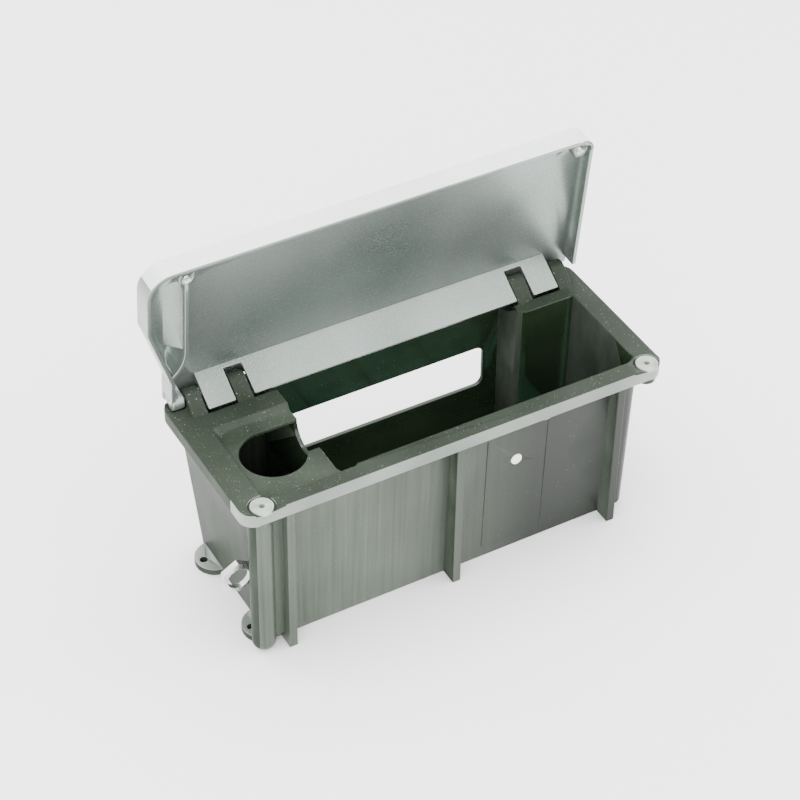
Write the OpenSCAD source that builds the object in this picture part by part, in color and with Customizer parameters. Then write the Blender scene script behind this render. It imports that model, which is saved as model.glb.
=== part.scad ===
// Bait station with a hinged lid, two lid locks, a tie-down eye and a lift-out bait tray.
// Frame: X along the station, Y from front to back, Z up.
// Origin: on the base plane, midway between the two lid locks and midway across the rim.

/* [Station] */
// Distance between the two lid locks along the station
lock_spacing = 230; // [200:1:300]
// Depth of the rim from front to back
rim_depth = 100; // [95:1:130]
// Height from the base to the top of the rim
station_h = 104; // [85:1:140]
// Wall thickness of the bin
wall_t = 2.4; // [2:0.1:3]

/* [Rim] */
// Rim beyond the left lock
rim_left = 12; // [11:0.5:16]
// Rim beyond the right lock
rim_right = 8.5; // [8.5:0.5:14]
// Distance of the locks from the front edge of the rim
lock_inset = 5.5; // [5:0.1:8]
// Thickness of the rim plate
rim_t = 3; // [2.6:0.1:4]
// Height of the turned-down lip round the rim
lip_h = 8; // [6:0.5:12]
// Corner radius of the rim
rim_r = 8; // [5:0.5:10]
// Overhang of the rim past the front wall
front_overhang = 8; // [6.5:0.5:10]
// Overhang of the rim past the back wall
back_overhang = 1.6; // [1:0.1:3]

/* [Bin] */
// Distance from the left lock to the bin
shelf_len = 47.3; // [44:0.1:60]
// Distance from the right lock to the outer face of the right wall
right_wall_inset = 1.5; // [1:0.1:6]
// Slope of the left end wall between rim and base
end_slope = 10; // [4:0.5:12]
// Draft of the front wall between rim and base
front_draft = 2.6; // [1:0.1:4]
// Corner radius of the bin opening
bin_r = 7; // [4:0.5:9]
// Thickness of the front ribs
rib_t = 4.6; // [3:0.1:6]
// Distance between neighbouring front ribs
rib_pitch = 99.1; // [90:0.1:102]
// Height of the passage slot in the back wall
slot_h = 27; // [20:0.5:32]
// Length of the passage slot
slot_len = 127; // [90:1:130]
// Height of the slot's lower edge above the base
slot_z = 41; // [36:1:50]
// Corner radius of the passage slot
slot_r = 5; // [3:0.5:8]

/* [Shelf] */
// Depth of the shelf below the rim
shelf_drop = 3.5; // [2:0.1:5]
// Radius of the round opening in the shelf
cup_r = 17.7; // [14:0.1:18]
// Distance from the left lock to the centre of the round opening
cup_x = 24.4; // [22:0.1:26]
// Distance from the front edge of the rim to the centre of the round opening
cup_y = 40.7; // [38:0.1:44]
// Radius of the channel from the round opening into the bin
channel_r = 12.5; // [8:0.1:13]

/* [Hinge] */
// Angle of the open lid from the closed lid
open_angle = 84; // [60:1:88]
// Distance of the hinge axis from the back edge of the rim
axis_inset = 6.5; // [6:0.1:8]
// Height of the hinge axis above the rim
axis_h = 3.5; // [3:0.1:4]
// Radius of the hinge pins
pin_r = 1.6; // [1.2:0.1:2]
// Running clearance of the lid's knuckles on the pins
pin_gap = 0.07; // [0.03:0.01:0.1]
// Radius of the body's hinge lugs
lug_r = 5.2; // [4.6:0.1:5.4]
// Radius of the lid's knuckles
knuckle_r = 4.6; // [4:0.1:4.8]
// Side clearance between lugs and knuckles
side_gap = 0.9; // [0.4:0.1:1.2]
// Tilt of the hinge bar when the lid is open
bar_tilt = 33; // [28:1:38]
// Thickness of the hinge bar
bar_t = 2.4; // [2:0.1:3]

/* [Lid] */
// Depth inside the lid's skirt
lid_depth = 10; // [9.5:0.1:14]
// Thickness of the lid panel
lid_t = 2.6; // [2:0.1:3.5]
// Thickness of the lid's skirt
skirt_t = 2.4; // [2:0.1:3]
// Length of the finger wing past the left edge of the rim
wing_len = 10; // [6:0.5:14]
// Clearance between the closed lid and the rim
lid_gap = 0.3; // [0.2:0.1:0.6]

/* [Locks] */
// Radius of the lock bolt's shank
bolt_r = 1.5; // [1.2:0.1:1.7]
// Travel of a lock bolt
bolt_travel = 3.5; // [2.5:0.1:3.5]
// Radius of the round insert that a lock bolt enters
insert_r = 6.1; // [5.5:0.1:6.5]
// Width of the groove round an insert
groove_w = 1.5; // [1:0.1:1.5]

/* [Tie-down eye and ears] */
// Radius of the eye's hole
eye_r = 6.2; // [5:0.1:6.5]
// Radius of the eye over its corners
eye_corner_r = 10; // [9.5:0.1:11]
// Radius of a fixing ear
ear_r = 11.5; // [9:0.5:12]
// Radius of the screw hole in an ear
ear_hole_r = 2.1; // [1.6:0.1:2.6]
// Thickness of an ear
ear_t = 4; // [3:0.1:5]

/* [Bait tray] */
// Height of the tray
tray_h = 18; // [14:1:24]
// Wall thickness of the tray
tray_t = 1.6; // [1.2:0.1:2]
// Radius of a bait rod
rod_r = 2; // [1.5:0.1:2.4]
// Side of a square bait block
block_w = 25; // [18:0.5:25]
// Length of a bait block
block_len = 38; // [25:1:38]
// Clearance between the tray and the bin
tray_gap = 1.5; // [0.8:0.1:3]

/* [Hidden] */
$fn = 64;
over = 1; // how far a cut runs past a face
sliver = 0.02; // thickness of a drafted shell's end sections

// Rim and walls
lock_x = lock_spacing / 2;
rim_x0 = -lock_x - rim_left;
rim_x1 = lock_x + rim_right;
rim_y0 = -rim_depth / 2;
rim_y1 = rim_depth / 2;
lock_y = rim_y0 + lock_inset;
rim_z = station_h;
wall_x0 = -lock_x - 5;
wall_x1 = lock_x - right_wall_inset;
wall_y0 = rim_y0 + front_overhang;
wall_y1 = rim_y1 - back_overhang;
shell_top = rim_z - rim_t / 2;
back_draft = 2;
right_draft = 0.8;
corner_r = 6;
floor_t = wall_t;
bin_x0 = -lock_x + shelf_len;
bin_x1 = wall_x1 - wall_t;
bin_y0 = wall_y0 + wall_t;
bin_y1 = wall_y1 - wall_t;
bin_corner_r = min(bin_r, corner_r - 0.5);
divider_x = bin_x0 - wall_t;

// Hinge
axis_y = rim_y1 - axis_inset;
axis_z = rim_z + axis_h;
lug_w = 8.3;
inner_lug_w = 9.2;
knuckle_w = 15.6;
outer_left = -lock_x - 1;
outer_right = lock_x + 1;
// Left edge of each lug, from left to right
lug_left = outer_left;
inner_left = outer_left + lug_w + knuckle_w + 2 * side_gap;
inner_right = outer_right - lug_w - knuckle_w - 2 * side_gap - inner_lug_w;
lug_right = outer_right - lug_w;
lug_spans = [
    [lug_left, lug_left + lug_w],
    [inner_left, inner_left + inner_lug_w],
    [inner_right, inner_right + inner_lug_w],
    [lug_right, lug_right + lug_w]
];
bar_x0 = lug_left + lug_w + side_gap;
bar_x1 = lug_right - side_gap;
bar_lift = lug_r + 0.3;
bar_front = 11.2;
// Height of the lid panel's inner face above the hinge axis, and how far up the bar it is met
panel_rise = lid_depth - axis_h;
bar_turn = bar_tilt + open_angle;
bar_reach = (panel_rise - bar_lift * cos(bar_turn)) / sin(bar_turn);
bar_notch = 7.2;
bar_swing = norm([bar_front, bar_lift]) + 0.8;
arm_w = 6.6;
arm_x0 = outer_left - side_gap - arm_w;
pad_x = inner_right - 3.5;
pad_y = axis_y - 21;
lug_foot = 13;
web_drop = 6;

// Shelf
cup_cx = -lock_x + cup_x;
cup_cy = rim_y0 + cup_y;
shelf_y0 = rim_y0 + 8.9;
shelf_y1 = axis_y - 24.5;
shelf_x0 = -lock_x + 2.8;
shelf_z = rim_z - shelf_drop;
shelf_slope = 2.4;
chamber_x0 = wall_x0 + wall_t;

// Locks
insert_t = 2;
stem_r = 3.4;
stem_len = 7;
post_r = 6.5;
insert_bore_r = bolt_r + 0.1;
lid_in_z = rim_z + lid_depth;
lid_top_z = lid_in_z + lid_t;
boss_end_z = rim_z + 0.8;
boss_r = 4.8;
head_r = 2.75;
head_h = 2.6;
head_well_r = head_r + 0.3;
head_well = head_h + bolt_travel + 0.1;
shoulder_t = 1.4;
washer_r = 2.6;
washer_t = 0.6;
tip_well_r = washer_r + 0.15;
shoulder_z = lid_top_z - head_well;
washer_z = shoulder_z - shoulder_t - 0.1 - washer_t;
tip_z = rim_z + 1.3;

// Lid
lid_x0 = rim_x0 - wing_len;
lid_x1 = rim_x1;
lid_y0 = rim_y0 - 0.4;
lid_y1 = axis_y + 3.4;
wing_end = rim_x0 + 3;
wing_turn = axis_y - 56.5;
wing_close = axis_y - 16;
lid_corner_left = 14;
lid_corner_right = 8;
wing_wall_t = 2.2;
wing_wall_r = 22;

// Tie-down eye
eye_x = -lock_x - 9;
eye_y = lock_y + 12.7;
eye_z = 0.46 * station_h;
eye_t = 3.2;
shank_r = 2;
nut_t = 3.2;

// Ears and wall plug
ear_ys = [rim_y0 + 20.5, rim_y0 + 77.5];
ear_x = wall_x0 + end_slope + 0.5;
plug_x = 37.3;
plug_z = rim_z - 38;
plug_r = 3.3;
plug_stem_r = plug_r - 0.8;
plug_head = 0.75;
seam_reach = 18.6;
seam_w = 0.3;
wall_lean = atan(front_draft / shell_top);

// Tray
floor_y0 = bin_y0 + front_draft;
tray_x0 = bin_x0 + tray_gap;
tray_x1 = bin_x1 - right_draft - tray_gap;
tray_y0 = floor_y0 + tray_gap;
tray_y1 = tray_y0 + 2 * block_w + 3 * 0.9 + 2 * tray_t;
rod_z = floor_t + tray_t + 1 + block_w / 2;
rod_front_y = tray_y0 + tray_t + 0.9 + block_w / 2;
rod_rear_y = rod_front_y + block_w + 0.9;
blocks = 4;
block_gap = 2.5;
clip_t = 2;

plastic = "DimGray";
lid_plastic = "SlateGray";
zinc = "Silver";

module rounded_rect(x0, x1, y0, y1, r) {
    translate([x0 + r, y0]) square([x1 - x0 - 2 * r, y1 - y0]);
    translate([x0, y0 + r]) square([x1 - x0, y1 - y0 - 2 * r]);
    for (x = [x0 + r, x1 - r], y = [y0 + r, y1 - r])
        translate([x, y]) circle(r);
}

module slab(x0, x1, y0, y1, r, z0, z1) {
    translate([0, 0, z0]) linear_extrude(z1 - z0) rounded_rect(x0, x1, y0, y1, r);
}

// Straight-sided shell between a low and a high rounded rectangle [x0, x1, y0, y1]
module drafted(low, high, r, z0, z1) {
    hull() {
        slab(low[0], low[1], low[2], low[3], r, z0, z0 + sliver, $fn = 32);
        slab(high[0], high[1], high[2], high[3], r, z1 - sliver, z1, $fn = 32);
    }
}

module block(x0, x1, y0, y1, z0, z1) {
    translate([x0, y0, z0]) cube([x1 - x0, y1 - y0, z1 - z0]);
}

module rod_x(x0, x1, y, z, r) {
    translate([x0, y, z]) rotate([0, 90, 0]) cylinder(h = x1 - x0, r = r);
}

// Turns a piece drawn with the lid closed into its place on the open lid
module on_lid() {
    translate([0, axis_y, axis_z])
        rotate([-open_angle, 0, 0])
            translate([0, -axis_y, -axis_z])
                children();
}

// ---- Bin ----

module outer_shell() {
    drafted(
        [wall_x0 + end_slope, wall_x1 - right_draft, wall_y0 + front_draft, wall_y1 - back_draft],
        [wall_x0, wall_x1, wall_y0, wall_y1],
        corner_r, 0, shell_top
    );
}

module rim() {
    slab(rim_x0, rim_x1, rim_y0, rim_y1, rim_r, rim_z - rim_t, rim_z);
    difference() {
        slab(rim_x0, rim_x1, rim_y0, rim_y1, rim_r, rim_z - lip_h, rim_z);
        slab(
            rim_x0 + wall_t, rim_x1 - wall_t, rim_y0 + wall_t, rim_y1 + over,
            rim_r - wall_t, rim_z - lip_h - over, rim_z - rim_t / 2
        );
    }
}

// The hollow for the bait, with a step forward under the right hinge
module bin_hollow() {
    difference() {
        drafted(
            [bin_x0, bin_x1 - right_draft, bin_y0 + front_draft, bin_y1 - back_draft],
            [bin_x0, bin_x1, bin_y0, bin_y1],
            bin_corner_r, floor_t, rim_z + over
        );
        slab(pad_x, rim_x1 + over, pad_y, rim_y1 + over, 5, 0, rim_z + 2 * over);
    }
}

// The open pocket behind the step
module rear_pocket() {
    slab(
        pad_x + wall_t, rim_x1 + 10, pad_y + wall_t, rim_y1 + 10, 3,
        -over, axis_z - bar_swing - wall_t
    );
}

module chamber_hollow() {
    drafted(
        [wall_x0 + end_slope + wall_t, divider_x, bin_y0 + front_draft, bin_y1 - back_draft],
        [chamber_x0, divider_x, bin_y0, bin_y1],
        3, floor_t, shelf_z - wall_t
    );
}

module shelf_recess() {
    drafted(
        [shelf_x0 + shelf_slope, bin_x0 + 10, shelf_y0 + shelf_slope, shelf_y1 - shelf_slope],
        [shelf_x0, bin_x0 + 10, shelf_y0, shelf_y1],
        3, shelf_z, rim_z + sliver
    );
}

module cup_and_channel() {
    translate([cup_cx, cup_cy, shelf_z - 2 * channel_r]) cylinder(h = 3 * channel_r, r = cup_r);
    rod_x(cup_cx, bin_x0 + over, cup_cy + cup_r - channel_r, shelf_z, channel_r);
}

module rear_slot() {
    slot_x1 = pad_x - 9;
    translate([0, rim_y1 + over, 0]) rotate([90, 0, 0])
        linear_extrude(rim_y1 - axis_y + 10)
            rounded_rect(slot_x1 - slot_len, slot_x1, slot_z, slot_z + slot_h, slot_r);
}

// Room under the hinge for the bar to swing down
module swing_trough() {
    difference() {
        rod_x(bar_x0 - side_gap, bar_x1 + side_gap, axis_y, axis_z, bar_swing);
        block(-lock_x - 20, lock_x + 20, bin_y1, rim_y1 + 20, 0, rim_z + 20);
    }
    for (x = [bar_x0 - side_gap, inner_right + inner_lug_w])
        rod_x(x, x + knuckle_w + 2 * side_gap, axis_y, axis_z, knuckle_r + 0.5);
    rod_x(arm_x0 - side_gap, outer_left, axis_y, axis_z, knuckle_r + 0.5);
}

module lug(span) {
    // Where the sloping face leaves the barrel
    face_y = -lug_r * sin(bar_tilt);
    face_z = lug_r * cos(bar_tilt);
    translate([span[0], axis_y, axis_z]) rotate([90, 0, 90])
        linear_extrude(span[1] - span[0])
            union() {
                circle(lug_r);
                polygon([
                    [face_y, face_z],
                    [-lug_foot, -axis_h],
                    [-lug_foot - 1, -axis_h - web_drop],
                    [bin_y1 - axis_y + 1, -axis_h - web_drop],
                    [lug_r * 0.7, -axis_h],
                    [lug_r, 0],
                    [0, lug_r]
                ]);
            }
}

module front_ribs() {
    for (i = [-1, 0, 1])
        block(
            i * rib_pitch - rib_t, i * rib_pitch,
            rim_y0 + 0.4, wall_y0 + front_draft + wall_t / 2, 0, rim_z - rim_t
        );
}

// Rounded post under the left lock, joined to the front wall by a web
module corner_post() {
    translate([-lock_x, wall_y0, post_r]) cylinder(h = rim_z - rim_t - post_r, r = post_r);
    translate([-lock_x, wall_y0, post_r]) sphere(post_r);
    block(
        -lock_x, -lock_x + end_slope + 2 * corner_r,
        wall_y0 - 2, wall_y0 + front_draft + 0.5, post_r, rim_z - rim_t
    );
}

module lock_bosses() {
    for (x = [-lock_x, lock_x])
        translate([x, lock_y, rim_z - insert_t - stem_len - 1.6])
            cylinder(h = stem_len + insert_t, r = stem_r + 2);
}

module ears() {
    for (y = ear_ys)
        intersection() {
            translate([ear_x, y, 0]) cylinder(h = ear_t, r = ear_r);
            block(ear_x - ear_r, ear_x + wall_t, y - ear_r, y + ear_r, 0, ear_t);
        }
}

// Stands a piece at the plug's place, square to the front wall and pointing into the bin
module on_front_wall() {
    translate([plug_x, wall_y0 + front_draft * (1 - plug_z / shell_top), plug_z])
        rotate([wall_lean - 90, 0, 0])
            children();
}

// Two shallow seams either side of the wall plug
module front_seams() {
    for (x = [plug_x - seam_reach, plug_x + seam_reach])
        translate([x, wall_y0 + front_draft, 0])
            rotate([wall_lean, 0, 0])
                block(-seam_w / 2, seam_w / 2, -over, seam_w, 8, rim_z - 18);
}

module bin_body() {
    color(plastic)
    difference() {
        union() {
            difference() {
                union() {
                    outer_shell();
                    rim();
                    front_ribs();
                    corner_post();
                    lock_bosses();
                    ears();
                }
                bin_hollow();
                chamber_hollow();
                rear_pocket();
                shelf_recess();
                cup_and_channel();
                rear_slot();
                swing_trough();
            }
            for (s = lug_spans)
                lug(s);
        }
        rod_x(outer_left - over, inner_left + inner_lug_w + over, axis_y, axis_z, pin_r);
        rod_x(inner_right - over, outer_right + over, axis_y, axis_z, pin_r);
        for (x = [-lock_x, lock_x])
            translate([x, lock_y, 0]) {
                translate([0, 0, rim_z - insert_t]) cylinder(h = insert_t + over, r = insert_r);
                translate([0, 0, rim_z - 1.2]) cylinder(h = 1.2 + over, r = insert_r + groove_w);
                translate([0, 0, rim_z - insert_t - stem_len])
                    cylinder(h = stem_len + over, r = stem_r);
            }
        for (y = ear_ys)
            translate([ear_x - ear_r * 0.6, y, -over]) cylinder(h = ear_t + 2 * over, r = ear_hole_r);
        rod_x(eye_x, eye_x + 20, eye_y, eye_z, shank_r + 0.1);
        on_front_wall() translate([0, 0, -over]) cylinder(h = wall_t + 2 * over, r = plug_stem_r);
        front_seams();
    }
}

// ---- Lid ----

module corner_bite(x, y, sx, sy, r) {
    translate([x, y]) mirror([sx < 0 ? 1 : 0, 0]) mirror([0, sy < 0 ? 1 : 0])
        difference() {
            translate([-over, -over]) square(r + over);
            translate([r, r]) circle(r);
        }
}

// Plan of the lid, moved in from its edge by i
module lid_plan(i) {
    difference() {
        translate([lid_x0 + i, lid_y0 + i])
            square([lid_x1 - lid_x0 - 2 * i, lid_y1 - lid_y0 - 2 * i]);
        corner_bite(lid_x0 + i, lid_y0 + i, 1, 1, lid_corner_left - i);
        corner_bite(lid_x1 - i, lid_y0 + i, -1, 1, lid_corner_right - i);
        polygon([
            [lid_x0 - over + i, wing_turn],
            [lid_x0 + i, wing_turn],
            [wing_end + i, wing_close],
            [wing_end + i, lid_y1 + over],
            [lid_x0 - over + i, lid_y1 + over]
        ]);
    }
}

// The wall that parts the finger wing from the tray of the lid
module wing_wall() {
    inner = -lock_x + 0.8;
    bend = axis_y - 37;
    translate([0, 0, rim_z + lid_gap]) linear_extrude(lid_depth) {
        translate([inner - wing_wall_t, lid_y0 + skirt_t / 2])
            square([wing_wall_t, bend - lid_y0 - skirt_t / 2]);
        // Curved end that meets the rim of the wing
        intersection() {
            translate([inner - wing_wall_r, bend])
                difference() {
                    circle(wing_wall_r);
                    circle(wing_wall_r - wing_wall_t);
                }
            translate([wing_end, bend]) square([inner - wing_end + 1, wing_close - bend + 2]);
        }
    }
    // Sloping root on the wing's side
    translate([0, bend, 0]) rotate([90, 0, 0])
        linear_extrude(bend - lid_y0 - skirt_t / 2)
            polygon([
                [inner - 9.8, lid_in_z],
                [inner - 9.8, lid_in_z + 1],
                [inner - 1, lid_in_z + 1],
                [inner - 1, rim_z + 2]
            ]);
}

module lid_bosses() {
    for (x = [-lock_x, lock_x])
        translate([x, lock_y, boss_end_z]) cylinder(h = lid_in_z - boss_end_z + over, r = boss_r);
}

// Low half-round mark at the middle of the lid's front edge
module gate_mark() {
    intersection() {
        translate([-4.5, lid_y0 + skirt_t - 2, lid_in_z - 0.8]) cylinder(h = 1.2, r = 6.5);
        block(-20, 20, lid_y0 + 1, lid_y0 + 20, rim_z, lid_top_z);
    }
}

module left_arm() {
    rod_x(arm_x0, arm_x0 + arm_w, axis_y, axis_z, knuckle_r);
    block(
        arm_x0, arm_x0 + arm_w, axis_y - knuckle_r, axis_y + 3,
        axis_z, lid_in_z + over
    );
}

module lid_shell() {
    color(lid_plastic) on_lid()
    difference() {
        union() {
            difference() {
                translate([0, 0, rim_z + lid_gap])
                    linear_extrude(lid_top_z - rim_z - lid_gap) lid_plan(0);
                translate([0, 0, rim_z - over])
                    linear_extrude(lid_in_z - rim_z + over) lid_plan(skirt_t);
                block(
                    wing_end + skirt_t, lid_x1 - skirt_t, axis_y - 12, lid_y1 + over,
                    rim_z, lid_in_z
                );
                block(lid_x0 - over, lid_x1 + over, axis_y - 2.5, lid_y1 + over, rim_z, lid_in_z);
            }
            wing_wall();
            lid_bosses();
            left_arm();
            gate_mark();
        }
        rod_x(arm_x0 - over, arm_x0 + arm_w + over, axis_y, axis_z, pin_r + pin_gap);
        for (x = [-lock_x, lock_x])
            translate([x, lock_y, 0]) {
                translate([0, 0, boss_end_z - over])
                    cylinder(h = shoulder_z - shoulder_t - boss_end_z + over, r = tip_well_r);
                translate([0, 0, boss_end_z]) cylinder(h = lid_depth + lid_t, r = bolt_r + 0.08);
                translate([0, 0, shoulder_z]) cylinder(h = head_well + over, r = head_well_r);
            }
    }
}

module hinge_bar() {
    color(lid_plastic)
    translate([0, axis_y, axis_z]) rotate([bar_tilt, 0, 0])
    difference() {
        union() {
            block(bar_x0, bar_x1, -bar_front, bar_reach, bar_lift - bar_t, bar_lift);
            for (x = [bar_x0, bar_x1 - knuckle_w]) {
                rod_x(x, x + knuckle_w, 0, 0, knuckle_r);
                block(x, x + knuckle_w, -knuckle_r, knuckle_r, 0, bar_lift - bar_t / 2);
            }
        }
        for (x = [inner_left, inner_right])
            block(
                x - side_gap, x + inner_lug_w + side_gap,
                -bar_front - over, bar_notch, -knuckle_r - over, bar_lift + over
            );
        rod_x(bar_x0 - over, bar_x0 + knuckle_w + over, 0, 0, pin_r + pin_gap);
        rod_x(bar_x1 - knuckle_w - over, bar_x1 + over, 0, 0, pin_r + pin_gap);
        // The bar ends on the inner face of the lid's panel
        rotate([-bar_turn, 0, 0])
            block(bar_x0 - over, bar_x1 + over, -bar_swing, bar_swing, panel_rise, panel_rise + lid_t);
    }
}

// ---- Hinge pins ----

module hinge_pin_left() {
    color(zinc) rod_x(arm_x0, inner_left + inner_lug_w, axis_y, axis_z, pin_r);
}

module hinge_pin_right() {
    color(zinc) rod_x(inner_right, outer_right, axis_y, axis_z, pin_r);
}

// ---- Locks ----

module lock_bolt(x) {
    color(zinc) on_lid() translate([x, lock_y, 0])
    difference() {
        union() {
            translate([0, 0, tip_z + 0.6]) cylinder(h = lid_top_z - head_h - tip_z - 0.6, r = bolt_r);
            translate([0, 0, tip_z]) cylinder(h = 0.6, r1 = bolt_r - 0.5, r2 = bolt_r);
            translate([0, 0, lid_top_z - head_h]) cylinder(h = head_h, r = head_r);
        }
        translate([0, 0, lid_top_z - 1.6]) cylinder(h = 1.6 + over, r = 1.44, $fn = 6);
    }
}

module lock_bolt_left() { lock_bolt(-lock_x); }

module lock_bolt_right() { lock_bolt(lock_x); }

module bolt_washer(x) {
    color(zinc) on_lid() translate([x, lock_y, washer_z])
    difference() {
        cylinder(h = washer_t, r = washer_r);
        translate([0, 0, -over]) cylinder(h = washer_t + 2 * over, r = bolt_r + 0.05);
    }
}

module bolt_washer_left() { bolt_washer(-lock_x); }

module bolt_washer_right() { bolt_washer(lock_x); }

module lock_insert(x) {
    color("Gray") translate([x, lock_y, 0])
    difference() {
        union() {
            translate([0, 0, rim_z - insert_t]) cylinder(h = insert_t, r = insert_r);
            translate([0, 0, rim_z - insert_t - stem_len]) cylinder(h = stem_len + 0.5, r = stem_r);
        }
        translate([0, 0, rim_z - insert_t - stem_len + 1.5])
            cylinder(h = stem_len + insert_t, r = insert_bore_r);
    }
}

module lock_insert_left() { lock_insert(-lock_x); }

module lock_insert_right() { lock_insert(lock_x); }

// ---- Tie-down eye ----

module anchor_eye() {
    color(zinc) {
        difference() {
            translate([eye_x, eye_y + eye_t / 2, eye_z]) rotate([90, 0, 0])
                rotate([0, 0, 30]) cylinder(h = eye_t, r = eye_corner_r, $fn = 6);
            translate([eye_x, eye_y + eye_t, eye_z - 0.9]) rotate([90, 0, 0])
                cylinder(h = 2 * eye_t, r = eye_r);
        }
        rod_x(eye_x + 8.2, eye_x + 20, eye_y, eye_z, shank_r);
    }
}

module anchor_nut() {
    nut_x = wall_x0 + end_slope * (1 - eye_z / rim_z) + wall_t + 0.6;
    color(zinc) difference() {
        translate([nut_x, eye_y, eye_z]) rotate([0, 90, 0]) cylinder(h = nut_t, r = 4, $fn = 6);
        rod_x(nut_x - over, nut_x + nut_t + over, eye_y, eye_z, shank_r);
    }
}

module wall_plug() {
    color("WhiteSmoke") on_front_wall() {
        translate([0, 0, -plug_head]) cylinder(h = plug_head, r = plug_r);
        cylinder(h = wall_t + 1.2, r = plug_stem_r);
    }
}

// ---- Bait tray ----

module bait_tray() {
    color("DarkSlateGray") difference() {
        slab(tray_x0, tray_x1, tray_y0, tray_y1, 4, floor_t, floor_t + tray_h);
        slab(
            tray_x0 + tray_t, tray_x1 - tray_t, tray_y0 + tray_t, tray_y1 - tray_t, 2.4,
            floor_t + tray_t, floor_t + tray_h + over
        );
        for (y = [rod_front_y, rod_rear_y])
            rod_x(tray_x0 - over, tray_x1 + over, y, rod_z, rod_r + 0.05);
    }
}

module bait_rod(y) {
    color(zinc) rod_x(tray_x0 - 0.9, tray_x1 + 0.9, y, rod_z, rod_r);
}

module bait_rod_front() { bait_rod(rod_front_y); }

module bait_rod_rear() { bait_rod(rod_rear_y); }

module rod_clips() {
    color("Black")
    for (x = [tray_x0 + tray_t + 0.3, tray_x1 - tray_t - clip_t - 0.3], y = [rod_front_y, rod_rear_y])
        difference() {
            rod_x(x, x + clip_t, y, rod_z, rod_r + 2.5);
            rod_x(x - over, x + clip_t + over, y, rod_z, rod_r);
        }
}

module bait_blocks(y) {
    pitch = block_len + block_gap;
    first = (tray_x0 + tray_x1 - blocks * block_len - (blocks - 1) * block_gap) / 2;
    color("SeaGreen")
    for (i = [0 : blocks - 1])
        translate([first + i * pitch, y, rod_z])
            difference() {
                block(0, block_len, -block_w / 2, block_w / 2, -block_w / 2, block_w / 2);
                rod_x(-over, block_len + over, 0, 0, rod_r + 0.4);
            }
}

module bait_blocks_front() { bait_blocks(rod_front_y); }

module bait_blocks_rear() { bait_blocks(rod_rear_y); }

bin_body();
lid_shell();
hinge_bar();
hinge_pin_left();
hinge_pin_right();
lock_bolt_left();
lock_bolt_right();
bolt_washer_left();
bolt_washer_right();
lock_insert_left();
lock_insert_right();
anchor_eye();
anchor_nut();
wall_plug();
bait_tray();
bait_rod_front();
bait_rod_rear();
rod_clips();
bait_blocks_front();
bait_blocks_rear();
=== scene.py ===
import math
import bmesh
import bpy
from mathutils import Matrix, Vector


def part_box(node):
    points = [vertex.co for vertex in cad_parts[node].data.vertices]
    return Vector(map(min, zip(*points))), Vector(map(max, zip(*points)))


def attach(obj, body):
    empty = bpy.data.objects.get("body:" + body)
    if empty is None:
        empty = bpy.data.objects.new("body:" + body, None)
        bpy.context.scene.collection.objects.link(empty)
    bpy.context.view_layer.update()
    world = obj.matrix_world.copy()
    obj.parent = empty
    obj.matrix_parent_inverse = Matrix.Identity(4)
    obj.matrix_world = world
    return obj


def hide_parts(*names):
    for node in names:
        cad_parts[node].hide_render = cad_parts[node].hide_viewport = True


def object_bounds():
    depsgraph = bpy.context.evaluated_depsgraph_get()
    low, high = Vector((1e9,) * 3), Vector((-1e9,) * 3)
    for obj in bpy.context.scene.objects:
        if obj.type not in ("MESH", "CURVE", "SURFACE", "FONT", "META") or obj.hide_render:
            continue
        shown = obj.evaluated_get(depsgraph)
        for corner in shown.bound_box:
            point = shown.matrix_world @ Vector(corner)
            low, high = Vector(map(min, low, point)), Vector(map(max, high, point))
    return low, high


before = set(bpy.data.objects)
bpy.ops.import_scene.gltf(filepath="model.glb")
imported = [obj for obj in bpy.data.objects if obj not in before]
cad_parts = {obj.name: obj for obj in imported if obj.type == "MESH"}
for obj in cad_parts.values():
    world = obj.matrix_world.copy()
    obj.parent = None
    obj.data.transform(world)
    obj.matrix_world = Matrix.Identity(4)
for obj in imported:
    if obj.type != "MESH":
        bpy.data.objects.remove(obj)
cadLow, cadHigh = [Vector(corner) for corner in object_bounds()]
print("frame loaded,", len(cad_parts), "nodes")

mm = 0.001
fullTurn = 2 * math.pi
rimTop = cadLow.z + 104 * mm
# Shared by every copied piece: what counts as one point, as flat and as folded back
meshPlan = {"join": 0.002 * mm, "cutReach": 0.001 * mm, "flat": 0.6, "folded": 150, "smoothUnder": 35}

cameraPlan = {
    "aim": (-0.008, 0.005, 0.091),
    "azimuth": -30.1,
    "elevation": 41.15,
    "distance": 1.27,
    "lens": 107.7,
    "roll": 1.0,
}
floorPlan = {"size": 8.0, "color": (0.93, 0.93, 0.93, 1), "roughness": 0.8, "drop": 0.0002}
worldPlan = {"color": (1.0, 1.0, 1.0, 1), "strength": 3.3}
# name, place, aim, size and power of each soft light
lightPlans = [
    ("topSoftbox", (-0.1, 0.35, 1.25), (0, 0, 0.1), 0.9, 16.0),
    ("frontSoftbox", (-0.9, -1.1, 0.8), (0, 0, 0.1), 0.8, 12.0),
    ("sideSoftbox", (1.1, -0.5, 0.7), (0, 0, 0.1), 0.7, 6.0),
]


def aimedRotation(place, aim):
    return (Vector(aim) - Vector(place)).to_track_quat("-Z", "Y")


def addCamera(plan):
    azimuth = math.radians(plan["azimuth"])
    elevation = math.radians(plan["elevation"])
    back = Vector((
        math.sin(azimuth) * math.cos(elevation),
        -math.cos(azimuth) * math.cos(elevation),
        math.sin(elevation),
    ))
    data = bpy.data.cameras.new("stationCamera")
    data.lens = plan["lens"]
    camera = bpy.data.objects.new("stationCamera", data)
    bpy.context.scene.collection.objects.link(camera)
    camera.location = Vector(plan["aim"]) + back * plan["distance"]
    roll = Matrix.Rotation(math.radians(plan["roll"]), 3, "Z").to_quaternion()
    camera.rotation_mode = "QUATERNION"
    camera.rotation_quaternion = (-back).to_track_quat("-Z", "Y") @ roll
    bpy.context.scene.camera = camera


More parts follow.
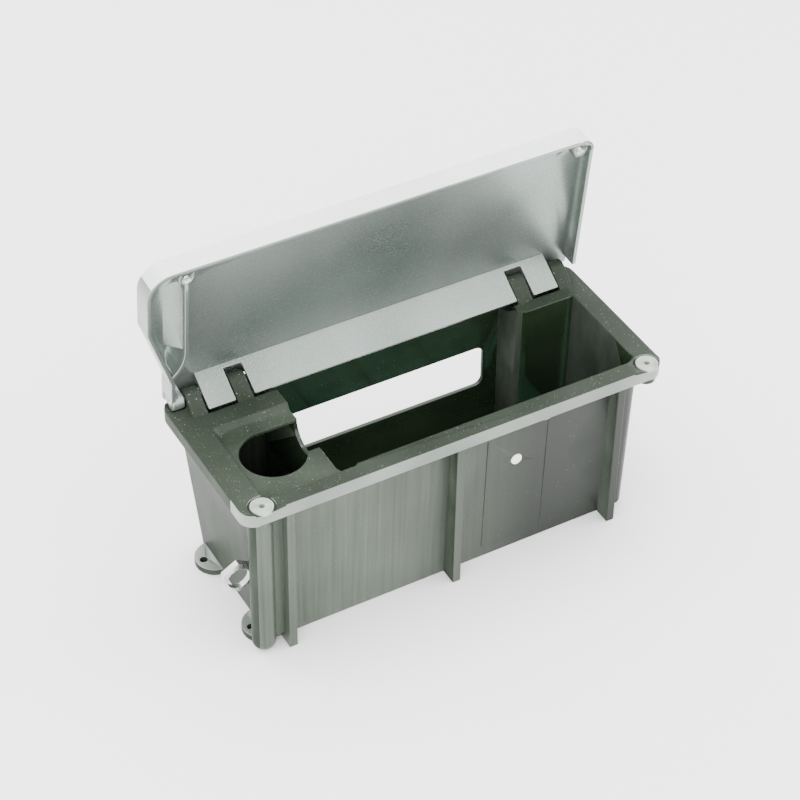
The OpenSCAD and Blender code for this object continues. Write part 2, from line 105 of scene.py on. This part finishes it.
def addLight(name, place, aim, size, power):
    data = bpy.data.lights.new(name, "AREA")
    data.size = size
    data.energy = power
    light = bpy.data.objects.new(name, data)
    bpy.context.scene.collection.objects.link(light)
    light.location = place
    light.rotation_mode = "QUATERNION"
    light.rotation_quaternion = aimedRotation(place, aim)


def addWorld(plan):
    world = bpy.data.worlds.new("studioWorld")
    world.use_nodes = True
    background = world.node_tree.nodes["Background"]
    background.inputs["Color"].default_value = plan["color"]
    background.inputs["Strength"].default_value = plan["strength"]
    bpy.context.scene.world = world


def addFloor(plan):
    floorMesh = bmesh.new()
    bmesh.ops.create_grid(floorMesh, x_segments=1, y_segments=1, size=plan["size"] / 2)
    bmesh.ops.translate(floorMesh, verts=floorMesh.verts, vec=(0, 0, cadLow.z - plan["drop"]))
    mesh = bpy.data.meshes.new("floor")
    floorMesh.to_mesh(mesh)
    floorMesh.free()
    floor = bpy.data.objects.new("floor", mesh)
    bpy.context.scene.collection.objects.link(floor)
    material = bpy.data.materials.new("floorPaper")
    material.use_nodes = True
    shader = material.node_tree.nodes["Principled BSDF"]
    shader.inputs["Base Color"].default_value = plan["color"]
    shader.inputs["Roughness"].default_value = plan["roughness"]
    mesh.materials.append(material)


addCamera(cameraPlan)
addWorld(worldPlan)
addFloor(floorPlan)
for lightPlan in lightPlans:
    addLight(*lightPlan)
print("camera, floor and lights placed")

# Moulded plastic: cloud is the slow change of shade, streak the flow marks, speck the bright dust
# The bin's one moulded plastic comes as lit and shaded copies: the rim, front wall, end wall, inside
# and shelf each get their own shade of it by how light falls there, so these colours hold painted light
# and shade
rimFinish = {
    "dark": (0.016, 0.022, 0.015), "light": (0.036, 0.046, 0.034), "cloudScale": 14,
    "streak": (1, 1, 1), "streakShare": 0.2, "speck": (0.34, 0.36, 0.34), "speckScale": 1500,
    "speckLevel": 0.71, "rough": (0.30, 0.42), "grainScale": 2600, "grain": 0.05, "metallic": 0.0,
    "gloss": 0.12,
}
# Painted highlight: a much lighter copy of the rim plastic for the leaning faces of the rim's bead and
# the ears' up-facing tops, where light catches them
rimHighlightFinish = {
    **rimFinish, "dark": (0.10, 0.12, 0.10), "light": (0.26, 0.29, 0.265), "metallic": 0.1,
    "gloss": 0.5,
}
# The front wall is a lighter copy of the bin plastic where it faces the light: painted light. Its last
# entry is a painted shade, standing in for the reflection that dims along the box: where the wall
# starts and stops growing darker along the box, and its last shade
frontFinish = {
    "dark": (0.036, 0.048, 0.034), "light": (0.110, 0.130, 0.106), "cloudScale": 7,
    "streak": (420, 420, 5), "streakShare": 0.3, "speck": (0.24, 0.26, 0.24), "speckScale": 1300,
    "speckLevel": 0.76, "rough": (0.26, 0.38), "grainScale": 2200, "grain": 0.04, "metallic": 0.15,
    "gloss": 0.25, "paintedShade": (-0.05, 0.05, 0.16),
}
# Painted shade: the end wall is a darker copy of the bin plastic
endFinish = {
    **frontFinish, "dark": (0.020, 0.026, 0.019), "light": (0.050, 0.060, 0.048),
    "streak": (60, 90, 30), "streakShare": 0.5, "cloudScale": 22, "metallic": 0.0, "gloss": 0.02,
    "paintedShade": None,
}
# Painted shade: the bin's inside is the darkest copy of its plastic, for the shade in the hollow
insideFinish = {
    "dark": (0.007, 0.014, 0.006), "light": (0.020, 0.033, 0.018), "cloudScale": 16,
    "streak": (8, 8, 40), "streakShare": 0.3, "speck": (0.10, 0.12, 0.10), "speckScale": 1200,
    "speckLevel": 0.76, "rough": (0.10, 0.20), "grainScale": 1400, "grain": 0.02, "metallic": 0.0,
    "gloss": 0.5,
}
# Painted shade: the shelf is a darker copy of the bin plastic
shelfFinish = {
    "dark": (0.014, 0.022, 0.013), "light": (0.046, 0.056, 0.043), "cloudScale": 20,
    "streak": (1, 1, 1), "streakShare": 0.2, "speck": (0.30, 0.32, 0.30), "speckScale": 1500,
    "speckLevel": 0.72, "rough": (0.24, 0.36), "grainScale": 2400, "grain": 0.04, "metallic": 0.0,
    "gloss": 0.15,
}
lidFinish = {
    "dark": (0.170, 0.205, 0.185), "light": (0.330, 0.365, 0.340), "cloudScale": 9,
    "streak": (14, 14, 14), "streakShare": 0.3, "speck": (0.45, 0.48, 0.46), "speckScale": 3200,
    "speckLevel": 0.62, "rough": (0.27, 0.35), "grainScale": 3600, "grain": 0.10, "metallic": 0.75,
    "gloss": 0.5,
}
# Painted highlight: a much lighter copy of the lid plastic for the skirt's top faces, which face up on
# the open lid and catch the light
lidHighlightFinish = {**lidFinish, "dark": (0.60, 0.63, 0.61), "light": (0.85, 0.87, 0.86), "metallic": 0.1}
insertFinish = {
    **rimFinish, "dark": (0.24, 0.27, 0.24), "light": (0.42, 0.45, 0.42), "cloudScale": 160,
}
trayFinish = {**insideFinish, "rough": (0.22, 0.34), "light": (0.035, 0.045, 0.036)}
plugFinish = {
    **rimFinish, "dark": (0.72, 0.72, 0.69), "light": (0.88, 0.88, 0.85), "cloudScale": 200,
    "rough": (0.18, 0.28), "metallic": 0.0,
}
rubberFinish = {
    **rimFinish, "dark": (0.012, 0.012, 0.012), "light": (0.035, 0.035, 0.034), "cloudScale": 300,
    "rough": (0.55, 0.75), "metallic": 0.0, "speckLevel": 0.8,
}
waxFinish = {
    "dark": (0.030, 0.150, 0.105), "light": (0.085, 0.300, 0.215), "cloudScale": 90,
    "streak": (160, 60, 60), "streakShare": 0.35, "speck": (0.55, 0.42, 0.20), "speckScale": 420,
    "speckLevel": 0.66, "rough": (0.38, 0.60), "grainScale": 700, "grain": 0.25, "metallic": 0.0,
    "gloss": 0.5,
}
zincFinish = {
    "dark": (0.42, 0.43, 0.42), "light": (0.72, 0.73, 0.71), "cloudScale": 180,
    "brush": (2400, 2400, 60), "rough": (0.22, 0.42), "grain": 0.06,
}


# The stretch of a noise that is used, the width of a speck's edge, and how deep the grain is
noisePlan = {
    "shade": (0.32, 0.68), "middle": (0.3, 0.7), "speckEdge": 0.06, "grainDepth": 0.2 * mm,
    "brushDepth": 0.1 * mm,
}


def startMaterial(name):
    material = bpy.data.materials.new(name)
    material.use_nodes = True
    tree = material.node_tree
    return material, tree.nodes, tree.links, tree.nodes["Principled BSDF"]


def noiseOn(nodes, links, stretch, scale, detail):
    place = nodes.new("ShaderNodeTexCoord")
    mapping = nodes.new("ShaderNodeMapping")
    noise = nodes.new("ShaderNodeTexNoise")
    mapping.inputs["Scale"].default_value = stretch
    noise.inputs["Scale"].default_value = scale
    noise.inputs["Detail"].default_value = detail
    links.new(place.outputs["Object"], mapping.inputs["Vector"])
    links.new(mapping.outputs["Vector"], noise.inputs["Vector"])
    return noise.outputs["Fac"]


def spread(nodes, links, value, low, high, toLow, toHigh):
    node = nodes.new("ShaderNodeMapRange")
    node.inputs["From Min"].default_value = low
    node.inputs["From Max"].default_value = high
    node.inputs["To Min"].default_value = toLow
    node.inputs["To Max"].default_value = toHigh
    links.new(value, node.inputs["Value"])
    return node.outputs["Result"]


def mixColors(nodes, links, share, first, second):
    node = nodes.new("ShaderNodeMix")
    node.data_type = "RGBA"
    links.new(share, node.inputs["Factor"])
    for socket, color in ((node.inputs[6], first), (node.inputs[7], second)):
        if isinstance(color, tuple):
            socket.default_value = (*color, 1)
        else:
            links.new(color, socket)
    return node.outputs[2]


def addBump(nodes, links, shader, height, strength, distance):
    bump = nodes.new("ShaderNodeBump")
    bump.inputs["Strength"].default_value = strength
    bump.inputs["Distance"].default_value = distance
    links.new(height, bump.inputs["Height"])
    links.new(bump.outputs["Normal"], shader.inputs["Normal"])


def mouldedPlastic(name, plan):
    material, nodes, links, shader = startMaterial(name)
    cloud = noiseOn(nodes, links, (1, 1, 1), plan["cloudScale"], 3)
    streaks = noiseOn(nodes, links, plan["streak"], 1, 4)
    share = nodes.new("ShaderNodeMix")
    share.inputs["Factor"].default_value = plan["streakShare"]
    links.new(cloud, share.inputs["A"])
    links.new(streaks, share.inputs["B"])
    shade = spread(nodes, links, share.outputs["Result"], *noisePlan["shade"], 0, 1)
    body = mixColors(nodes, links, shade, plan["dark"], plan["light"])
    dust = noiseOn(nodes, links, (1, 1, 1), plan["speckScale"], 1)
    level = plan["speckLevel"]
    specks = spread(nodes, links, dust, level, level + noisePlan["speckEdge"], 0, 1)
    # Painted shade: the colour darkens along the object's X towards its last shade, standing in for the
    # reflection that dims towards the right end
    if plan.get("paintedShade"):
        place = nodes.new("ShaderNodeTexCoord")
        along = nodes.new("ShaderNodeSeparateXYZ")
        links.new(place.outputs["Object"], along.inputs["Vector"])
        start, stop, last = plan["paintedShade"]
        darker = spread(nodes, links, along.outputs["X"], start, stop, 0, 1)
        ending = tuple(last * part for part in plan["light"])
        body = mixColors(nodes, links, darker, body, ending)
    links.new(mixColors(nodes, links, specks, body, plan["speck"]), shader.inputs["Base Color"])
    shader.inputs["Specular IOR Level"].default_value = plan["gloss"]
    roughness = spread(nodes, links, cloud, *noisePlan["middle"], *plan["rough"])
    links.new(roughness, shader.inputs["Roughness"])
    shader.inputs["Metallic"].default_value = plan["metallic"]
    grain = noiseOn(nodes, links, (1, 1, 1), plan["grainScale"], 2)
    addBump(nodes, links, shader, grain, plan["grain"], noisePlan["grainDepth"])
    return material


def platedZinc(name, plan):
    material, nodes, links, shader = startMaterial(name)
    cloud = noiseOn(nodes, links, (1, 1, 1), plan["cloudScale"], 4)
    brush = noiseOn(nodes, links, plan["brush"], 1, 2)
    shade = spread(nodes, links, cloud, *noisePlan["middle"], 0, 1)
    links.new(mixColors(nodes, links, shade, plan["dark"], plan["light"]), shader.inputs["Base Color"])
    roughness = spread(nodes, links, brush, *noisePlan["middle"], *plan["rough"])
    links.new(roughness, shader.inputs["Roughness"])
    shader.inputs["Metallic"].default_value = 1.0
    addBump(nodes, links, shader, brush, plan["grain"], noisePlan["brushDepth"])
    return material


finishes = {
    "rim": mouldedPlastic("rimPlastic", rimFinish),
    "rimHighlight": mouldedPlastic("rimHighlightPlastic", rimHighlightFinish),
    "front": mouldedPlastic("frontWallPlastic", frontFinish),
    "end": mouldedPlastic("endWallPlastic", endFinish),
    "inside": mouldedPlastic("binInsidePlastic", insideFinish),
    "shelf": mouldedPlastic("shelfPlastic", shelfFinish),
    "lid": mouldedPlastic("lidPlastic", lidFinish),
    "lidHighlight": mouldedPlastic("lidHighlightPlastic", lidHighlightFinish),
    "insert": mouldedPlastic("insertPlastic", insertFinish),
    "tray": mouldedPlastic("trayPlastic", trayFinish),
    "plug": mouldedPlastic("plugPlastic", plugFinish),
    "rubber": mouldedPlastic("clipRubber", rubberFinish),
    "wax": mouldedPlastic("baitWax", waxFinish),
    "zinc": platedZinc("platedZinc", zincFinish),
}
print("finishes made")


def placeMesh(name, bm, body, finishNames, nodes):
    mesh = bpy.data.meshes.new(name)
    bm.to_mesh(mesh)
    bm.free()
    for finishName in finishNames:
        mesh.materials.append(finishes[finishName])
    piece = bpy.data.objects.new(name, mesh)
    bpy.context.scene.collection.objects.link(piece)
    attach(piece, body)
    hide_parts(*nodes)
    return piece


# True for an edge that lies wholly within reach of one of the given places
def nearSpot(edge, spots):
    return any(
        all((vert.co - Vector(place)).length < reach for vert in edge.verts)
        for place, reach in spots
    )


# A copy of a moulded node with its edges rounded, and its faces sorted among the finishes.
# The cuts are planes (axis, place) that keep the small faces round a hole short.
def roundedCopy(node, name, body, finishNames, plan, pick=None, weigh=None):
    bm = bmesh.new()
    bm.from_mesh(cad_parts[node].data)
    bmesh.ops.remove_doubles(bm, verts=bm.verts, dist=meshPlan["join"])
    bmesh.ops.dissolve_limit(
        bm, angle_limit=math.radians(meshPlan["flat"]), verts=bm.verts, edges=bm.edges,
        use_dissolve_boundaries=False,
    )
    for axis, place in plan.get("cuts", []):
        normal = Vector([float(index == axis) for index in range(3)])
        geometry = bm.verts[:] + bm.edges[:] + bm.faces[:]
        bmesh.ops.bisect_plane(
            bm, geom=geometry, dist=meshPlan["cutReach"], plane_co=normal * place, plane_no=normal,
        )
    bmesh.ops.triangulate(bm, faces=bm.faces, quad_method="BEAUTY", ngon_method="BEAUTY")
    weights = bm.edges.layers.float.new("bevel_weight_edge")
    sharp = math.radians(plan["sharpAngle"])
    folded = math.radians(meshPlan["folded"])
    for edge in bm.edges:
        turned = edge.is_convex and sharp < edge.calc_face_angle(0) < folded
        if turned and not nearSpot(edge, plan.get("spots", [])):
            edge[weights] = weigh(edge) if weigh else 1.0
    for face in bm.faces:
        face.smooth = True
        face.material_index = 0
        if pick:
            face.material_index = finishNames.index(pick(face.calc_center_median(), face.normal))
    piece = placeMesh(name, bm, body, finishNames, [node])
    bevel = piece.modifiers.new("moulded edges", "BEVEL")
    bevel.limit_method = "WEIGHT"
    bevel.width = plan["radius"] * mm
    bevel.segments = plan["segments"]
    bevel.use_clamp_overlap = False
    shading = piece.modifiers.new("flat faces stay flat", "WEIGHTED_NORMAL")
    shading.mode = "FACE_AREA"
    shading.keep_sharp = False
    return piece


# A turned piece from a profile of (radius, height) in mm, stood at a place
def turnedPiece(name, profile, place, steps=48):
    bm = bmesh.new()
    points = [bm.verts.new((radius * mm, 0, height * mm)) for radius, height in profile]
    edges = [bm.edges.new(pair) for pair in zip(points, points[1:])]
    bmesh.ops.spin(
        bm, geom=points + edges, cent=(0, 0, 0), axis=(0, 0, 1), dvec=(0, 0, 0),
        angle=fullTurn, steps=steps, use_merge=True,
    )
    bmesh.ops.remove_doubles(bm, verts=bm.verts, dist=meshPlan["join"])
    bmesh.ops.recalc_face_normals(bm, faces=bm.faces)
    smoothUnder = math.radians(meshPlan["smoothUnder"])
    for edge in bm.edges:
        edge.smooth = len(edge.link_faces) == 2 and edge.calc_face_angle() < smoothUnder
    for face in bm.faces:
        face.smooth = True
    bm.transform(place)
    return bm


eyeLow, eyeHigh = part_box("anchor_nut")
plugLow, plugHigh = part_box("wall_plug")
binPlan = {
    "radius": 0.5, "segments": 3, "sharpAngle": 28, "wallShare": 0.8,
    "cuts": [(0, -104 * mm), (0, 104 * mm), (1, -33.5 * mm), (1, -20 * mm), (2, 36 * mm), (2, 58 * mm)],
    "spots": [
        ((-115 * mm, -44.5 * mm, 103 * mm), 11.2 * mm), ((115 * mm, -44.5 * mm, 103 * mm), 11.2 * mm),
        (tuple((eyeLow + eyeHigh) / 2), 16 * mm), (tuple((plugLow + plugHigh) / 2), 9 * mm),
    ],
    "left": -68.6 * mm, "right": 111.8 * mm, "front": -40.3 * mm, "back": 46.4 * mm,
    "lip": 8.3 * mm, "endAt": -104 * mm, "ribFrom": -20 * mm,
    "earTop": 12 * mm, "padDrop": 40 * mm, "skin": 0.4 * mm,
    "facing": 0.7, "shelfDrop": 5 * mm, "upright": 0.5, "frontLean": -0.3, "rightLean": 0.3,
    "beadFront": -30 * mm, "frontAt": -36 * mm,
    "shelfLeft": -112.6 * mm, "shelfFront": -41.4 * mm, "shelfBack": 19.4 * mm,
}

# Sorts the bin's faces among the lit and shaded copies of its plastic by where they sit and which way
# they face; this places the painted light and shade
def pickBinFinish(centre, normal):
    plan = binPlan
    below = centre.z < rimTop - plan["skin"]
    inBin = plan["left"] < centre.x < plan["right"] and plan["front"] < centre.y < plan["back"]
    onShelf = (
        plan["shelfLeft"] < centre.x <= plan["left"]
        and plan["shelfFront"] < centre.y < plan["shelfBack"]
    )
    outside = centre.z < rimTop - plan["lip"]
    if outside and normal.y < -plan["facing"] and centre.y < plan["frontAt"]:
        return "front"
    if outside and normal.x < -plan["facing"] and not plan["endAt"] < centre.x < plan["ribFrom"]:
        return "end"
    facesUp = normal.z > plan["facing"]
    # Painted highlight: the ears' up-facing tops take the lighter copy of the rim plastic
    if outside and facesUp and centre.z < plan["earTop"] and centre.x < plan["endAt"]:
        return "rimHighlight"
    if below and inBin:
        onPad = facesUp and centre.z > rimTop - plan["padDrop"]
        return "shelf" if onPad else "inside"
    if below and onShelf:
        return "shelf" if centre.z > rimTop - plan["shelfDrop"] else "inside"
    # On the rim's lip, faces leaning to the front or right and those along the front bead take the
    # painted highlight, the rest the darker end-wall copy as painted shade
    if rimTop - plan["lip"] < centre.z < rimTop - plan["skin"] and abs(normal.z) < plan["upright"]:
        leans = normal.y < plan["frontLean"] or normal.x > plan["rightLean"]
        return "rimHighlight" if leans or centre.y < plan["beadFront"] else "end"
    if centre.x < plan["endAt"] and centre.z < rimTop - plan["lip"] and centre.y > plan["frontAt"]:
        return "end"
    if centre.z < rimTop - plan["lip"]:
        return "front"
    return "rim"


def weighBinEdge(edge):
    middle = (edge.verts[0].co + edge.verts[1].co) / 2
    return 1.0 if abs(middle.z - rimTop) < binPlan["skin"] else binPlan["wallShare"]


roundedCopy(
    "bin_body", "binShell", "station",
    ["rim", "rimHighlight", "front", "end", "inside", "shelf"], binPlan, pickBinFinish, weighBinEdge,
)
print("bin shell made")

lidSpots = []
for side in ("left", "right"):
    low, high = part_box(f"lock_bolt_{side}")
    middle = (low + high) / 2
    lidSpots += [(tuple(middle), 12 * mm), ((middle.x, high.y, middle.z), 6.5 * mm)]
lidPlan = {
    "radius": 0.5, "segments": 3, "sharpAngle": 28, "edgeUp": 0.6, "edgeAbove": 50 * mm,
    "cuts": [(0, -104 * mm), (0, 104 * mm), (2, 185 * mm)],
    "spots": lidSpots,
}


# Painted highlight: up-facing faces high on the open lid take the lighter copy of its plastic
def pickLidFinish(centre, normal):
    litTopEdge = normal.z > lidPlan["edgeUp"] and centre.z > rimTop + lidPlan["edgeAbove"]
    return "lidHighlight" if litTopEdge else "lid"


roundedCopy(
    "lid_shell", "lidShell", "lid", ["lid", "lidHighlight"], lidPlan, pickLidFinish,
)
stripPlan = {"radius": 0.5, "segments": 3, "sharpAngle": 28}
roundedCopy("hinge_bar", "hingeStrip", "lid", ["lid"], stripPlan)
print("lid made")

smallPlan = {"radius": 0.3, "segments": 2, "sharpAngle": 28}
boltPlan = {"radius": 0.12, "segments": 2, "sharpAngle": 28}
blockPlan = {"radius": 1.4, "segments": 3, "sharpAngle": 28}
trayPlan = {"radius": 0.5, "segments": 2, "sharpAngle": 28}
for side in ("left", "right"):
    roundedCopy(
        f"lock_bolt_{side}", f"lockBolt.{side}", f"bolt_{side}", ["zinc"], boltPlan,
    )
    roundedCopy(
        f"bolt_washer_{side}", f"boltWasher.{side}", f"washer_{side}", ["zinc"], boltPlan,
    )
roundedCopy("anchor_eye", "anchorEye", "station", ["zinc"], smallPlan)
roundedCopy("anchor_nut", "anchorNut", "station", ["zinc"], smallPlan)
roundedCopy("bait_tray", "baitTray", "station", ["tray"], trayPlan)
roundedCopy("rod_clips", "rodClips", "station", ["rubber"], smallPlan)
for side in ("front", "rear"):
    roundedCopy(
        f"bait_blocks_{side}", f"baitBlocks.{side}", "station", ["wax"], blockPlan,
    )
print("small pieces made")

# The insert's flat top has a ring groove and a raised mark round its bore
insertProfile = [
    (0, -7.5), (1.6, -7.5), (1.6, -0.15), (1.75, 0), (2.4, 0), (2.6, -0.2), (4.5, -0.2),
    (4.7, 0), (5.85, 0), (6.1, -0.25), (6.1, -2), (3.4, -2), (3.4, -9), (0, -9),
]
plugProfile = [
    (0, -0.15), (1.1, -0.15), (1.5, 0), (2.7, 0), (3.15, -0.2), (3.3, -0.5), (3.3, -0.75),
    (2.5, -0.75), (2.5, -4.2), (2.2, -4.5), (0, -4.5),
]


pinChamfer = 0.3


def pinProfile(radius, length, chamfer):
    return [
        (0, 0), (radius - chamfer, 0), (radius, chamfer), (radius, length - chamfer),
        (radius - chamfer, length), (0, length),
    ]


def addTurned(name, node, profile, place, finishName):
    placeMesh(name, turnedPiece(name, profile, place), "station", [finishName], [node])


alongX = Matrix.Rotation(math.pi / 2, 4, "Y")
towardsFront = Matrix.Rotation(math.pi / 2, 4, "X")
for side in ("left", "right"):
    low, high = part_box(f"lock_insert_{side}")
    top = Matrix.Translation(((low.x + high.x) / 2, (low.y + high.y) / 2, high.z))
    addTurned(
        f"lockInsert.{side}", f"lock_insert_{side}", insertProfile, top, "insert",
    )
pinNodes = {
    "hinge_pin_left": "hingePin.left", "hinge_pin_right": "hingePin.right",
    "bait_rod_front": "baitRod.front", "bait_rod_rear": "baitRod.rear",
}
for node, name in pinNodes.items():
    low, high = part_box(node)
    start = Matrix.Translation((low.x, (low.y + high.y) / 2, (low.z + high.z) / 2)) @ alongX
    profile = pinProfile((high.y - low.y) / 2 / mm, (high.x - low.x) / mm, pinChamfer)
    addTurned(name, node, profile, start, "zinc")
low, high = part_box("wall_plug")
face = Matrix.Translation(((low.x + high.x) / 2, low.y, (low.z + high.z) / 2)) @ towardsFront
addTurned("wallPlug", "wall_plug", plugProfile, face, "plug")
print("turned pieces made")
